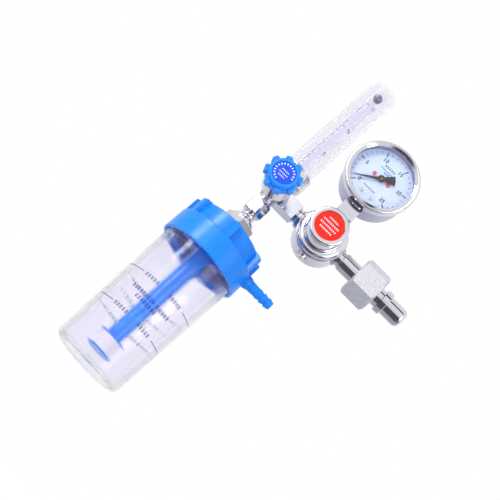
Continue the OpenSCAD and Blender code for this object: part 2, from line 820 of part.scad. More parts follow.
module packing_bonnet() {
    front = -packing_start - packing_len;
    cup_wall = 3;
    cup_d = 9;
    color("silver") on_y(valve_x, 0, 0) difference() {
        union() {
            rotate_extrude() polygon(concat([[0, -packing_start], [packing_r - 2.5, -packing_start]],
                arc(packing_r - 2.5, 2.5 - packing_start - 5, 2.5, 90, 0),
                arc(packing_r - 1, front + 1, 1, 0, -90), [[0, front]]));
            shaft(packing_bore_r - thread_gap, -packing_start, packing_floor - packing_ring_t);
        }
        shaft(packing_r - cup_wall, front - 1, front + cup_d);
        shaft(spindle_r + run_gap, front - 1, 0);
    }
}

module packing_ring() {
    color("white") on_y(valve_x, 0, 0)
        ring(packing_bore_r - thread_gap, spindle_r + run_gap, packing_floor - packing_ring_t,
            packing_floor);
}

module flow_spindle() {
    front = screw_seat + knob_web;
    taper = needle_seat - 2;
    color("goldenrod") on_y(valve_x, 0, 0) difference() {
        union() {
            shaft(spindle_r, front, taper);
            translate([0, 0, taper]) cylinder(r1 = spindle_r, r2 = 0.5, h = 2.6);
        }
        shaft(knob_screw_r + run_gap, front - 1, front + 8);
    }
}

// One lobe of the knob, with its outer corners rounded
module lobe_outline() {
    corner = 1.6;
    half = lobe_w / 2;
    union() {
        translate([knob_rim_r - 2, -half]) square([knob_lobe_r - knob_rim_r + 2 - corner, lobe_w]);
        translate([knob_rim_r - 2, corner - half]) square([knob_lobe_r - knob_rim_r + 2,
            lobe_w - 2 * corner]);
        for (s = [-1, 1]) translate([knob_lobe_r - corner, s * (half - corner)]) circle(r = corner);
    }
}

module flow_knob() {
    rim_h = 3.4;
    lobe_low = -knob_front + 2;
    lobe_back = knob_back - 0.8;
    body_top_r = knob_rim_r + 0.6;
    color("dodgerblue") difference() {
        union() {
            on_y(valve_x, 0, 0) rotate_extrude() polygon(concat(
                [[0, knob_back], [body_top_r + 0.4, knob_back], [body_top_r, -knob_front + rim_h + 1],
                [knob_rim_r, -knob_front + rim_h]],
                arc(knob_rim_r - 1.2, -knob_front + 1.2, 1.2, 0, -90), [[0, -knob_front]]));
            face_plate(valve_x, 0, lobe_low, lobe_back - lobe_low) for (i = [0:knob_lobes - 1])
                rotate([0, 0, lobe_turn + i * 360 / knob_lobes]) lobe_outline();
        }
        on_y(valve_x, 0, 0) shaft(knob_disc_r + thread_gap, -knob_front - 1, disc_seat);
        on_y(valve_x, 0, 0) shaft(3.5, -knob_front, screw_seat);
        on_y(valve_x, 0, 0) shaft(spindle_r + run_gap, screw_seat + knob_web, 0);
        on_y(valve_x, 0, 0) shaft(knob_screw_r + thread_gap, screw_seat - 1, screw_seat + 1);
        on_y(valve_x, 0, 0) ring(body_top_r - 1.6, 5.6, screw_seat + 2.4, knob_back + 1);
    }
}

module knob_disc() {
    color("royalblue") on_y(valve_x, 0, 0) shaft(knob_disc_r, disc_seat - disc_t, disc_seat);
}

module knob_screw() {
    color("gray") on_y(valve_x, 0, 0) difference() {
        union() {
            shaft(3.3, screw_seat - 1.6, screw_seat);
            shaft(knob_screw_r, screw_seat, screw_seat + 7);
        }
        translate([-0.4, -4, screw_seat - 2]) cube([0.8, 8, 1.2]);
    }
}

// Flow tube
module meter_socket() {
    edge = 4.5;
    color("silver") on_valve(0) difference() {
        rotate_extrude() polygon(concat([[0, socket_low]],
            arc(socket_r - edge, socket_low + edge, edge, -90, 0),
            [[socket_r, socket_top - 2.4], [socket_r - 0.5, socket_top - 2], [socket_r - 0.5,
                socket_top - 1.6],
            [socket_r, socket_top - 1.2]],
            arc(socket_r - 0.6, socket_top - 0.6, 0.6, 0, 90), [[0, socket_top]]));
        shaft(tube_r + thread_gap, meter_low, socket_top + 1);
        shaft(packing_bore_r + thread_gap, socket_low - 1, meter_low + 1);
    }
}

module outer_tube() {
    inner = tube_r - tube_wall;
    color([0.9, 0.9, 1, 0.35]) on_valve(0) rotate_extrude() polygon(concat(
        [[inner, tube_seat], [tube_r, tube_seat]],
        arc(tube_r - tube_round, tube_top - tube_round, tube_round, 0, 90),
        [[0, tube_top], [0, tube_top - tube_wall]],
        arc(inner - 1.5, tube_top - tube_wall - 1.5, 1.5, 90, 0)));
}

module outer_tube_seal() {
    color("black") on_valve(0) ring(tube_r, tube_r - tube_wall, meter_low, tube_seat);
}

// The notch in the tube's foot lets the gas out of the space around it
module metering_tube() {
    color([0.95, 0.95, 1, 0.4]) on_valve(0) difference() {
        shaft(meter_r, meter_low, meter_top);
        translate([0, 0, meter_low + stop_h])
            cylinder(r1 = ball_r + run_gap + 0.1, r2 = ball_r + meter_taper,
                h = meter_top - meter_low - stop_h + 0.01);
        shaft(2.5 + thread_gap, meter_low - 1, meter_top);
        translate([-meter_r - 1, -1.2, meter_low - 1]) cube([meter_r + 1 - 3.4, 2.4, 2.2]);
    }
}

module float_ball() {
    color("gray") on_valve(ball_rest) sphere(r = ball_r);
}

// The perforated seat that stops the float at the foot of its bore
module float_seat() {
    color("white") on_valve(meter_low) difference() {
        union() {
            shaft(2.5, 0, stop_h);
            shaft(3.9, stop_h, stop_h + 0.5);
        }
        for (a = [0:120:240]) rotate([0, 0, a]) translate([1.3, 0, -1]) cylinder(r = 0.7, h = stop_h + 2);
    }
}

// Humidifier: union, hub, cap and bottle
module union_nut() {
    union_turn = 47;
    color("silver") on_valve(union_low) difference() {
        rotate([0, 0, union_turn]) hex_bar(union_af, union_h, 2);
        translate([0, 0, union_lip]) cylinder(r = outlet_r, h = union_h);
        translate([0, 0, -1]) cylinder(r = lip_bore, h = union_h);
    }
}

module union_seal() {
    color("black") on_valve(0) ring(outlet_r - 0.3, 2, outlet_low - union_seal_t, outlet_low);
}

module humidifier_hub() {
    head = outlet_low - union_seal_t;
    color("silver") on_valve(0) difference() {
        rotate_extrude() polygon(concat(
            [[0, hub_foot], [hub_r - 0.6, hub_foot], [hub_r, hub_foot + 0.6], [hub_r, dome_low],
            [hub_dome_r, dome_low], [hub_dome_r, dome_low + 1.5]],
            arc(hub_dome_r - 3.6, dome_low + 1.5, 3.6, 0, 70),
            [[5, dome_top - 0.6], [4.4, dome_top]],
            arc(4.2, dome_top + 2.3, 2.2, -60, 60),
            [[lip_bore - 0.1, union_low - 0.6], [lip_bore - 0.1, union_low + union_lip], [outlet_r - 0.3,
                union_low + union_lip],
            [outlet_r - 0.3, head], [0, head]]));
        shaft(2, hub_foot - 1, head + 1);
    }
}

module cap_nut() {
    cap_nut_turn = 35;
    color("lightgray") on_valve(cap_top) difference() {
        rotate([0, 0, cap_nut_turn]) hex_bar(cap_nut_af, cap_nut_h, 1.4);
        translate([0, 0, -1]) cylinder(r = hub_r + thread_gap, h = cap_nut_h + 2);
    }
}

module hub_seal() {
    color("white") on_valve(0) ring(seal_r, hub_r + thread_gap, boss_low - seal_t, boss_low);
}

module grip_rib(a) {
    top = rib_top - 0.6;
    rib_r = skirt_r - 0.9;
    rotate([0, 0, a - 90]) translate([panel_r - 4, 0, 0]) rotate([90, 0, 0])
        translate([0, 0, -rib_w / 2]) linear_extrude(height = rib_w) polygon(concat(
            [[0, skirt_top - 1], [rib_r - panel_r + 4, skirt_top - 1]],
            arc(rib_r - panel_r + 2.4, top - 1.6, 1.6, 0, 90, 5), [[0, top + 1.5]]));
}

module hose_barb() {
    pitch = 4.6;
    crest = barb_r;
    land = barb_tip - 3 * pitch - 0.6;
    start = head_r + 0.1;
    on_x(valve_x, barb_z) rotate_extrude() polygon(concat(
        [[0, start], [6, start], [6, skirt_r - 4], [barb_r + 0.9, skirt_r + 2], [barb_root_r + 0.7,
            skirt_r + 4],
        [barb_root_r + 0.2, land]],
        [for (i = [0:2]) each [[crest, land + i * pitch + 0.5], [crest, land + i * pitch + 1.2],
        [barb_root_r - 0.4 + 0.2 * (2 - i) / 2, land + (i + 1) * pitch]]],
        [[barb_root_r - 0.6, barb_tip], [0, barb_tip]]));
}

module bottle_cap() {
    edge = 1.2;
    crown_land = cap_nut_af / 2 / cos(30) + 0.3;
    color("dodgerblue") difference() {
        union() {
            on_valve(0) rotate_extrude() polygon(concat(
                [[0, cap_rim]], arc(skirt_r - 0.8, cap_rim + 0.8, 0.8, -90, 0, 3),
                arc(skirt_r - edge - 0.2, skirt_top - edge, edge, 0, 90, 4),
                [[panel_r + 0.4, skirt_top], [panel_r, skirt_top + 0.6], [panel_r - 0.8, rib_top - 1.2],
                [panel_r - 2, rib_top], [crown_land, cap_top], [0, cap_top]]));
            on_valve(0) for (k = [0:5]) grip_rib(rib_turn + 60 * k);
            on_valve(0) for (s = [90, 270]) grip_rib(rib_turn + s);
            hose_barb();
        }
        on_valve(0) rotate_extrude() polygon([
            [0, cap_rim - 1], [skirt_r - skirt_wall, cap_rim - 1], [skirt_r - skirt_wall, cap_rim + 3],
            [thread_bore, cap_rim + 4.4], [thread_bore, ledge], [head_r, ledge], [head_r, ceiling - 1],
            [head_r - 1, ceiling], [boss_r + 3, cap_top - cap_wall - 2], [boss_r, cap_top - cap_wall - 2],
            [boss_r, boss_low], [0, boss_low]
        ]);
        on_valve(0) shaft(hub_r + thread_gap, boss_low - 1, cap_top + 1);
        on_x(valve_x + head_r - 2, barb_z) cylinder(r = 2.2, h = barb_tip);
    }
}

module cap_gasket() {
    color("white") on_valve(0) ring(thread_bore - 0.1, gasket_in, bottle_top, ledge);
}

module bottle() {
    inner_low = bottle_low_r - bottle_wall;
    shoulder = cap_rim + 2.4;
    inner_round = bottle_round - bottle_wall;
    color([0.9, 0.9, 1, 0.3]) on_valve(0) rotate_extrude() polygon(concat(
        [[0, bottle_low + 1], [bottle_low_r - bottle_round - 1.5, bottle_low + 1]],
        arc(bottle_low_r - bottle_round, bottle_low + bottle_round, bottle_round, -90, 0),
        [[bottle_r, cap_rim], [bottle_r - 0.3, shoulder - 0.6], [bottle_r - 1.2, shoulder], [neck_r + 0.6,
            shoulder],
        [neck_r, shoulder + 0.8], [neck_r, bottle_top - 0.5], [neck_r - 0.5, bottle_top],
        [neck_r - bottle_wall, bottle_top], [neck_r - bottle_wall, shoulder],
            [bottle_r - bottle_wall - 0.4, cap_rim - 2]],
        arc(inner_low - inner_round, bottle_low + bottle_wall + 1 + inner_round, inner_round, 0, -90),
        [[0, bottle_low + bottle_wall + 1]]));
}

module dip_tube() {
    collar_h = 5;
    collar_t = 2.4;
    color("dodgerblue") on_valve(0) difference() {
        union() {
            translate([0, 0, diffuser_top]) cylinder(r1 = dip_r, r2 = dip_top_r,
                h = dip_flange - diffuser_top);
            rotate_extrude() polygon([
                [0, dip_flange - collar_h], [dip_top_r, dip_flange - collar_h],
                [collar_r, dip_flange - collar_t], [collar_r, dip_flange], [0, dip_flange]
            ]);
        }
        shaft(dip_bore, diffuser_top - 1, dip_flange + 1);
        shaft(hub_r + thread_gap, hub_foot - 1, dip_flange + 1);
    }
}

module diffuser_cage() {
    edge = 0.6;
    plug_len = 7;
    color("dodgerblue") on_valve(0) difference() {
        union() {
            rotate_extrude() polygon(concat([[0, diffuser_low]],
                arc(diffuser_r - edge, diffuser_low + edge, edge, -90, 0, 4),
                arc(diffuser_r - edge, diffuser_low + diffuser_disc - edge, edge, 0, 90, 4),
                [[post_r, diffuser_low + diffuser_disc], [post_r, diffuser_top - diffuser_disc]],
                arc(diffuser_r - edge, diffuser_top - diffuser_disc + edge, edge, -90, 0, 4),
                arc(diffuser_r - edge, diffuser_top - edge, edge, 0, 90, 4),
                [[dip_bore - thread_gap, diffuser_top], [dip_bore - thread_gap, diffuser_top + plug_len],
                    [0, diffuser_top + plug_len]]));
        }
        shaft(dip_bore - 1.6, diffuser_low + diffuser_disc, diffuser_top + plug_len + 1);
        for (a = [0, 90]) rotate([90, 0, a])
            translate([0, (diffuser_low + diffuser_top) / 2, -diffuser_r])
                cylinder(r = 1.4, h = 2 * diffuser_r);
    }
}

module diffuser_stone() {
    color("white") on_valve(0)
        ring(diffuser_r - 0.5, post_r + 0.1, diffuser_low + diffuser_disc, diffuser_top - diffuser_disc);
}

inlet_nipple();
inlet_filter();
inlet_nut();
slip_washer();
regulator_body();
regulator_bonnet();
label_disc();
adjusting_screw();
spring_button();
main_spring();
diaphragm_plate();
diaphragm();
seat_nozzle();
poppet();
poppet_spring();
relief_valve();
outlet_coupling();
gauge_stem();
gauge_case();
gauge_bezel();
gauge_lens();
gauge_dial();
gauge_pointer();
dial_screws();
movement_frame();
pinion_arbor();
sector_gear();
bourdon_tube();
valve_body();
packing_bonnet();
packing_ring();
flow_spindle();
flow_knob();
knob_disc();
knob_screw();
meter_socket();
outer_tube();
outer_tube_seal();
metering_tube();
float_ball();
float_seat();
union_nut();
union_seal();
humidifier_hub();
cap_nut();
hub_seal();
bottle_cap();
cap_gasket();
bottle();
dip_tube();
diffuser_cage();
diffuser_stone();
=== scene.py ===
# %% [markdown]
# # Oxygen flowmeter regulator
# A cylinder regulator with a dial gauge, a clear flow tube and a humidifier bottle.
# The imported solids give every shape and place. This file gives them their finishes,
# adds the printed marks and small trim, and sets the camera and the light.

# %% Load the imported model
import math
import bpy
import bmesh
from mathutils import Matrix, Vector


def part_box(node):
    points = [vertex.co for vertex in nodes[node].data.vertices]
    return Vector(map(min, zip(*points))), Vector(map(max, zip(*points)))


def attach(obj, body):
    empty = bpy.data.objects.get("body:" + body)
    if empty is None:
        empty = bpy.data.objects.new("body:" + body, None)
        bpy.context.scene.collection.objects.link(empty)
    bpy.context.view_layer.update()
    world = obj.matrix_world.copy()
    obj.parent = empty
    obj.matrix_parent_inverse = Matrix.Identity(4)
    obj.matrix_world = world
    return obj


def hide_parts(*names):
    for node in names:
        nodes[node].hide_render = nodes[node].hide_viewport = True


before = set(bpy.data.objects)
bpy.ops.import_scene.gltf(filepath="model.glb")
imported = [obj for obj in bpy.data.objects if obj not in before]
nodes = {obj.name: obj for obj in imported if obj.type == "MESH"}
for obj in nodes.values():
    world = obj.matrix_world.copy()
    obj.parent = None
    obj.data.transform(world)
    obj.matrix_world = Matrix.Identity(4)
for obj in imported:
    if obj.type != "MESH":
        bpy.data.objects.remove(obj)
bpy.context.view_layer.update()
scene = bpy.context.scene
MM = 0.001

# %% [markdown]
# ## Camera
# The photograph looks up at the object from the front and is turned by 47 degrees.
# The place, the lens and the turn come from a fit of known circles and edges to the
# picture, so the camera is written as its three axes and one point.

# %% Camera at the photograph's view
cam_right = Vector((0.69802846, -0.16711564, 0.69629637))
cam_up = Vector((-0.70903825, -0.29724289, 0.63946182))
cam_back = Vector((0.10010507, -0.94006331, -0.32597538))
cam_data = bpy.data.cameras.new("camera")
cam_data.lens = 60.474
cam_data.sensor_width = 36
cam_data.clip_start = 0.01
camera = bpy.data.objects.new("camera", cam_data)
scene.collection.objects.link(camera)
turn = Matrix((cam_right, cam_up, cam_back)).transposed().to_4x4()
camera.matrix_world = Matrix.Translation((-0.037612, -0.592711, -0.252092)) @ turn
scene.camera = camera
print("camera:", tuple(round(x, 3) for x in camera.location))

# %% [markdown]
# ## Node helpers
# Every finish is made of shader nodes on Object coordinates, in metres. These short
# helpers add a node, join two sockets and build a noise with its own scale.

# %% Node helpers
def linear(red, green, blue):
    """A colour picked on screen, from 0 to 255, as the shader wants it."""
    def one(c):
        c = c / 255
        return c / 12.92 if c <= 0.04045 else ((c + 0.055) / 1.055) ** 2.4
    return (one(red), one(green), one(blue), 1.0)


def add(tree, kind, **settings):
    node = tree.nodes.new(kind)
    for name, value in settings.items():
        if hasattr(node, name):
            setattr(node, name, value)
        else:
            node.inputs[name.replace("_", " ").title()].default_value = value
    return node


def noise(tree, scale, detail=3.0, stretch=(1, 1, 1)):
    """A noise pattern that keeps its place on the piece."""
    place = add(tree, "ShaderNodeTexCoord")
    mapping = add(tree, "ShaderNodeMapping")
    mapping.inputs["Scale"].default_value = stretch
    tree.links.new(place.outputs["Object"], mapping.inputs["Vector"])
    pattern = add(tree, "ShaderNodeTexNoise")
    pattern.inputs["Scale"].default_value = scale
    pattern.inputs["Detail"].default_value = detail
    tree.links.new(mapping.outputs["Vector"], pattern.inputs["Vector"])
    return pattern.outputs["Fac"]


def spread(tree, source, low, high):
    """Turns a pattern of 0 to 1 into a range of values."""
    node = add(tree, "ShaderNodeMapRange")
    node.inputs["From Min"].default_value = 0.3
    node.inputs["From Max"].default_value = 0.7
    node.inputs["To Min"].default_value = low
    node.inputs["To Max"].default_value = high
    tree.links.new(source, node.inputs["Value"])
    return node.outputs["Result"]


def finish(name, colour, second=None, rough=(0.3, 0.4), grain=400, bump=0.0, bump_scale=900,
           stretch=(1, 1, 1), fleck=None, **surface):
    """A finish with a slow colour change, an uneven gloss and a fine bump."""
    made = bpy.data.materials.new(name)
    made.use_nodes = True
    tree = made.node_tree
    shader = tree.nodes["Principled BSDF"]
    for socket, value in surface.items():
        shader.inputs[socket.replace("_", " ")].default_value = value
    mix = add(tree, "ShaderNodeMix", data_type="RGBA")
    mix.inputs["A"].default_value = colour
    mix.inputs["B"].default_value = second or colour
    tree.links.new(spread(tree, noise(tree, fleck or grain / 10, stretch=stretch), 0.0, 1.0), mix.inputs["Factor"])
    tree.links.new(mix.outputs["Result"], shader.inputs["Base Color"])
    tree.links.new(spread(tree, noise(tree, grain, stretch=stretch), *rough), shader.inputs["Roughness"])
    if bump:
        node = add(tree, "ShaderNodeBump")
        node.inputs["Strength"].default_value = 1.0
        node.inputs["Distance"].default_value = bump
        tree.links.new(noise(tree, bump_scale, stretch=stretch), node.inputs["Height"])
        tree.links.new(node.outputs["Normal"], shader.inputs["Normal"])
    return made

print("helpers ready")

# %% [markdown]
# ## Finishes
# The real one has five families: polished chrome plate over brass, blasted chrome on
# the two nuts, bright blue moulded plastic, clear plastic with a faint lilac cast, and
# printed or rubber trim. Chrome takes its looks from what it mirrors, so its own nodes
# only break up the gloss a little.

# %% Metal finishes
chrome = finish("chrome", linear(232, 231, 236), linear(222, 221, 230), (0.02, 0.06), 300,
                0.000002, 400, Metallic=1.0)
cast_chrome = finish("cast_chrome", linear(222, 222, 232), linear(206, 207, 220), (0.16, 0.2), 500,
                     0.0000005, 260, Metallic=1.0)
satin_chrome = finish("satin_chrome", linear(226, 225, 232), linear(200, 200, 210), (0.5, 0.62), 1400,
                      0.00004, 1600, fleck=1500, Metallic=0.55)
dull_chrome = finish("dull_chrome", linear(162, 159, 163), linear(138, 135, 140), (0.34, 0.5), 1400,
                     0.00004, 1600, fleck=1500, Metallic=0.8)
case_metal = finish("case_metal", linear(190, 192, 216), linear(184, 186, 211), (0.24, 0.28), 700,
                    0.000002, 900, stretch=(1, 8, 1), fleck=300, Metallic=0.9)
brass = finish("brass", linear(196, 160, 92), linear(176, 138, 72), (0.22, 0.34), 600, 0.000004, 900, Metallic=1.0)
bronze = finish("sintered_bronze", linear(168, 128, 84), linear(120, 88, 52), (0.5, 0.7), 3000,
                0.00006, 4000, Metallic=0.9)
steel = finish("steel", linear(170, 170, 176), linear(140, 140, 148), (0.12, 0.2), 700, 0.000004, 900, Metallic=1.0)
print("metals ready")

# %% Plastic, rubber and print finishes
blue = finish("blue_plastic", linear(22, 144, 253), linear(14, 132, 246), (0.24, 0.34), 250, 0.000006, 700,
              Specular_IOR_Level=0.35, Subsurface_Weight=0.05, Subsurface_Scale=0.003)
glossy_blue = finish("dip_tube_blue", linear(28, 144, 250), linear(20, 132, 246), (0.22, 0.3), 250, 0.000003, 500,
                     Coat_Weight=0.5, Coat_Roughness=0.3, Subsurface_Weight=0.3, Subsurface_Scale=0.006)
deep_blue = finish("knob_disc_blue", linear(30, 88, 232), linear(24, 76, 222), (0.3, 0.4), 400, 0.000003, 900,
                   Specular_IOR_Level=0.3)
red = finish("red_label", linear(253, 42, 26), linear(246, 36, 22), (0.36, 0.46), 500, 0.000004, 1200,
             Specular_IOR_Level=0.25)
white = finish("white_plastic", linear(244, 240, 246), linear(232, 228, 238), (0.4, 0.55), 600, 0.00001, 1500,
               Subsurface_Weight=0.2, Subsurface_Scale=0.003)
stone = finish("porous_sleeve", linear(240, 238, 244), linear(224, 222, 230), (0.65, 0.8), 3500, 0.00008, 5200,
               fleck=2500, Subsurface_Weight=0.1, Subsurface_Scale=0.002)
rubber = finish("black_rubber", linear(28, 28, 30), linear(18, 18, 20), (0.55, 0.7), 900, 0.00002, 1800)
dial_white = finish("dial_paint", linear(208, 223, 252), linear(200, 216, 250), (0.5, 0.6), 500, 0.000004, 1500)
black = finish("pointer_black", linear(66, 63, 72), linear(52, 50, 58), (0.35, 0.5), 700, 0.000003, 1200)
ink = finish("blue_black_ink", linear(34, 36, 150), linear(24, 26, 132), (0.5, 0.62), 800, 0.000002, 1500)
dial_ink = finish("dial_ink", linear(34, 34, 42), linear(24, 24, 32), (0.5, 0.62), 800, 0.000002, 1500)
# Grey ink for the dial's small print. On the two grey screws the same grey is painted shade that stands for their
# slots.
grey_ink_and_slot_shade = finish("grey_ink_and_slot_shade", linear(120, 124, 140), linear(104, 108, 124), (0.5, 0.62), 800, 0.000002, 1500)
scale_ink = finish("scale_ink", linear(112, 106, 136), linear(96, 90, 120), (0.5, 0.62), 800, 0.000002, 1500)
white_ink = finish("white_ink", linear(226, 232, 250), linear(210, 220, 246), (0.45, 0.55), 800, 0.000002, 1500)
light_blue_ink = finish("light_blue_ink", linear(30, 152, 236), linear(20, 140, 226), (0.45, 0.55), 800,
                        0.000002, 1500)
print("plastics ready")

# %% [markdown]
# ## Clear plastic
# The bottle, the two tubes and the window are solid walls. A strong bend of the light
# in each wall would hide the print and the ball behind four of them, so the walls bend
# it only a little, and a coat on top gives them the gloss of real plastic.

# %% Clear finishes
def clear(name, tint, bend, coat, rough, wave, cover=1.0):
    made = bpy.data.materials.new(name)
    made.use_nodes = True
    tree = made.node_tree
    shader = tree.nodes["Principled BSDF"]
    shader.inputs["Transmission Weight"].default_value = 1.0
    shader.inputs["IOR"].default_value = bend
    shader.inputs["Base Color"].default_value = tint
    shader.inputs["Coat Weight"].default_value = coat
    shader.inputs["Coat Roughness"].default_value = 0.03
    shader.inputs["Alpha"].default_value = cover
    tree.links.new(spread(tree, noise(tree, 300), rough, rough * 2), shader.inputs["Roughness"])
    if wave:
        node = add(tree, "ShaderNodeBump")
        node.inputs["Strength"].default_value = 1.0
        node.inputs["Distance"].default_value = wave
        tree.links.new(noise(tree, 60, 1.0), node.inputs["Height"])
        tree.links.new(node.outputs["Normal"], shader.inputs["Normal"])
    return made


bottle_clear = clear("bottle_clear", linear(237, 235, 249), 1.17, 0.6, 0.005, 0.00001, 0.62)
tube_clear = clear("tube_clear", linear(240, 237, 249), 1.08, 0.35, 0.004, 0.0, 0.5)
thread_frost = finish("frosted_thread", linear(226, 227, 243), linear(206, 208, 232), (0.2, 0.3), 700, 0.000004, 900,
                      Transmission_Weight=0.45, IOR=1.2, Alpha=0.8)
window_clear = clear("window_clear", linear(250, 251, 255), 1.1, 0.2, 0.004, 0.0, 0.4)
print("clear finishes ready")

# %% Give each solid its finish
finishes = {
    chrome: "inlet_nipple regulator_bonnet outlet_coupling gauge_bezel packing_bonnet meter_socket humidifier_hub "
            "union_nut gauge_stem relief_valve",
    cast_chrome: "regulator_body valve_body",
    satin_chrome: "inlet_nut",
    dull_chrome: "cap_nut",
    case_metal: "gauge_case",
    brass: "slip_washer spring_button diaphragm_plate seat_nozzle movement_frame pinion_arbor "
           "sector_gear bourdon_tube flow_spindle",
    bronze: "inlet_filter",
    steel: "adjusting_screw main_spring poppet_spring poppet knob_screw float_ball",
    rubber: "diaphragm outer_tube_seal union_seal",
    red: "label_disc",
    blue: "flow_knob bottle_cap",
    glossy_blue: "dip_tube diffuser_cage",
    deep_blue: "knob_disc",
    bottle_clear: "bottle",
    tube_clear: "outer_tube metering_tube",
    window_clear: "gauge_lens",
    white: "packing_ring float_seat hub_seal cap_gasket",
    stone: "diffuser_stone",
    dial_white: "gauge_dial",
    black: "gauge_pointer",
}
for made, names in finishes.items():
    for name in names.split():
        for material_slot in nodes[name].material_slots:
            material_slot.material = made
print("finished:", sum(len(names.split()) for names in finishes.values()))

# %% [markdown]
# ## Dial screws
# The gauge shows two small red rivets beside its centre and two grey slotted screws
# below. One node holds all four, so its finish changes with height.

# %% Dial screws in two colours
screw_finish = finish("dial_screw", linear(232, 92, 98), linear(222, 80, 88), (0.35, 0.5), 600, 0.000003, 1500)
tree = screw_finish.node_tree
place = add(tree, "ShaderNodeTexCoord")
split = add(tree, "ShaderNodeSeparateXYZ")
tree.links.new(place.outputs["Object"], split.inputs["Vector"])
lower = add(tree, "ShaderNodeMath", operation="LESS_THAN")
lower.inputs[1].default_value = 0.060
tree.links.new(split.outputs["Z"], lower.inputs[0])
both = add(tree, "ShaderNodeMix", data_type="RGBA")
tree.links.new(lower.outputs["Value"], both.inputs["Factor"])
shader = tree.nodes["Principled BSDF"]
tree.links.new(shader.inputs["Base Color"].links[0].from_socket, both.inputs["A"])
both.inputs["B"].default_value = linear(196, 200, 208)
tree.links.new(both.outputs["Result"], shader.inputs["Base Color"])
for material_slot in nodes["dial_screws"].material_slots:
    material_slot.material = screw_finish
print("dial screws done")

# %% [markdown]
# ## Gauge ring
# The ring that holds the gauge's window is rolled from thin sheet, so its front is
# dished and its rim is round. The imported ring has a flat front. This one keeps that
# ring's outer size and seat, and is a closed profile spun once round the gauge's axis.

# %% Dished ring round the gauge
def spun(name, profile, centre, axis, steps, made, body):
    """Spins a closed profile of (radius, distance along the axis) into a solid ring."""
    out = Vector((1, 0, 0))
    bm = bmesh.new()
    corners = [bm.verts.new(Vector(centre) + out * radius + Vector(axis) * distance) for radius, distance in profile]
    loop = [bm.edges.new((corners[i], corners[(i + 1) % len(corners)])) for i in range(len(corners))]
    bmesh.ops.spin(bm, geom=corners + loop, cent=centre, axis=axis, angle=2 * math.pi, steps=steps,
                   use_merge=True, use_duplicate=False)
    bmesh.ops.recalc_face_normals(bm, faces=bm.faces[:])
    mesh = bpy.data.meshes.new(name)
    bm.to_mesh(mesh)
    bm.free()
    mesh.shade_smooth()
    mesh.set_sharp_from_angle(angle=math.radians(32))
    piece = bpy.data.objects.new(name, mesh)
    scene.collection.objects.link(piece)
    mesh.materials.append(made)
    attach(piece, body)
    print(name, len(mesh.polygons), "faces")
    return piece


def bend(radius, distance, size, start, end, count):
    """Points on an arc of a profile. Zero degrees is outwards, 90 is along the axis."""
    angles = [math.radians(start + (end - start) * i / count) for i in range(count + 1)]
    return [(radius + size * math.cos(a), distance + size * math.sin(a)) for a in angles]


ring_low, ring_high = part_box("gauge_bezel")
ring_r = (ring_high.x - ring_low.x) / 2
ring_centre = ((ring_low.x + ring_high.x) / 2, ring_low.y, (ring_low.z + ring_high.z) / 2)
ring_depth = ring_high.y - ring_low.y
lens_low, lens_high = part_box("gauge_lens")
seat_r = (lens_high.x - lens_low.x) / 2 + 0.15 * MM
lens_at = lens_low.y - ring_low.y
WINDOW_R = 26.2 * MM
LIP = 0.5 * MM
profile = [(seat_r, ring_depth), (ring_r - 0.8 * MM, ring_depth), (ring_r, ring_depth - 0.8 * MM)]
profile += bend(ring_r - 1.5 * MM, 1.5 * MM, 1.5 * MM, 0, -122, 9)
profile += [(WINDOW_R + 0.5 * MM, lens_at - LIP - 0.15 * MM), (WINDOW_R, lens_at - LIP + 0.1 * MM), (WINDOW_R, lens_at),
            (seat_r, lens_at)]
gauge_ring = spun("gauge_ring", profile, ring_centre, (0, 1, 0), 144, chrome, "regulator")
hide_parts("gauge_bezel")

# %% [markdown]
# ## Smooth bonnet
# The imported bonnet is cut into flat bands, and chrome shows each band as a ring of its
# own. This one is spun from the same profile with smooth curves. Its dome is one wide
# round from the barrel to the flange's edge, as on the real one.

# %% Smooth bonnet
bonnet_low, bonnet_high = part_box("regulator_bonnet")
flange_r = (bonnet_high.x - bonnet_low.x) / 2
length = bonnet_high.y - bonnet_low.y
bonnet_centre = ((bonnet_low.x + bonnet_high.x) / 2, bonnet_low.y, (bonnet_low.z + bonnet_high.z) / 2)
barrel_r = flange_r - 4.4 * MM
label_low, label_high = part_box("label_disc")
pocket_r = (label_high.x - label_low.x) / 2 + 0.05 * MM
pocket = label_high.y - bonnet_low.y
screw_low, screw_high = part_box("adjusting_screw")
screw_r = (screw_high.x - screw_low.x) / 2 + 0.05 * MM
sheet_low, sheet_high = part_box("diaphragm")
sheet_r = (sheet_high.x - sheet_low.x) / 2 + 0.05 * MM
sheet = sheet_low.y - bonnet_low.y
profile = [(pocket_r, pocket), (pocket_r, 0.3 * MM), (pocket_r + 0.3 * MM, 0)]
profile += bend(barrel_r - 1.6 * MM, 1.6 * MM, 1.6 * MM, -90, 0, 8)
profile += [(barrel_r, 2.6 * MM), (barrel_r - 0.5 * MM, 2.9 * MM), (barrel_r - 0.5 * MM, 3.6 * MM),
            (barrel_r, 4 * MM)]
profile += bend(barrel_r + 1.2 * MM, length - 6.2 * MM, 1.2 * MM, 180, 90, 6)
profile += bend(flange_r - 3 * MM, length - 2 * MM, 3 * MM, -90, 0, 12)
profile += [(flange_r, length - 0.4 * MM), (flange_r - 0.4 * MM, length), (sheet_r, length), (sheet_r, sheet),
            (10.5 * MM, sheet), (10.5 * MM, pocket + 3 * MM), (screw_r, pocket + 3 * MM), (screw_r, pocket)]
smooth_bonnet = spun("smooth_bonnet", profile, bonnet_centre, (0, 1, 0), 144, chrome, "regulator")
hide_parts("regulator_bonnet")

# %% [markdown]
# ## Printed marks
# A print is a skin of ink a few hundredths of a millimetre thick. Each mark starts as
# a flat bar or a letter on the plane, and is then laid on its surface: the dial's are
# flat, and the bottle's and the tube's are wrapped round a cylinder.

# %% Print helpers
INK = 0.03 * MM


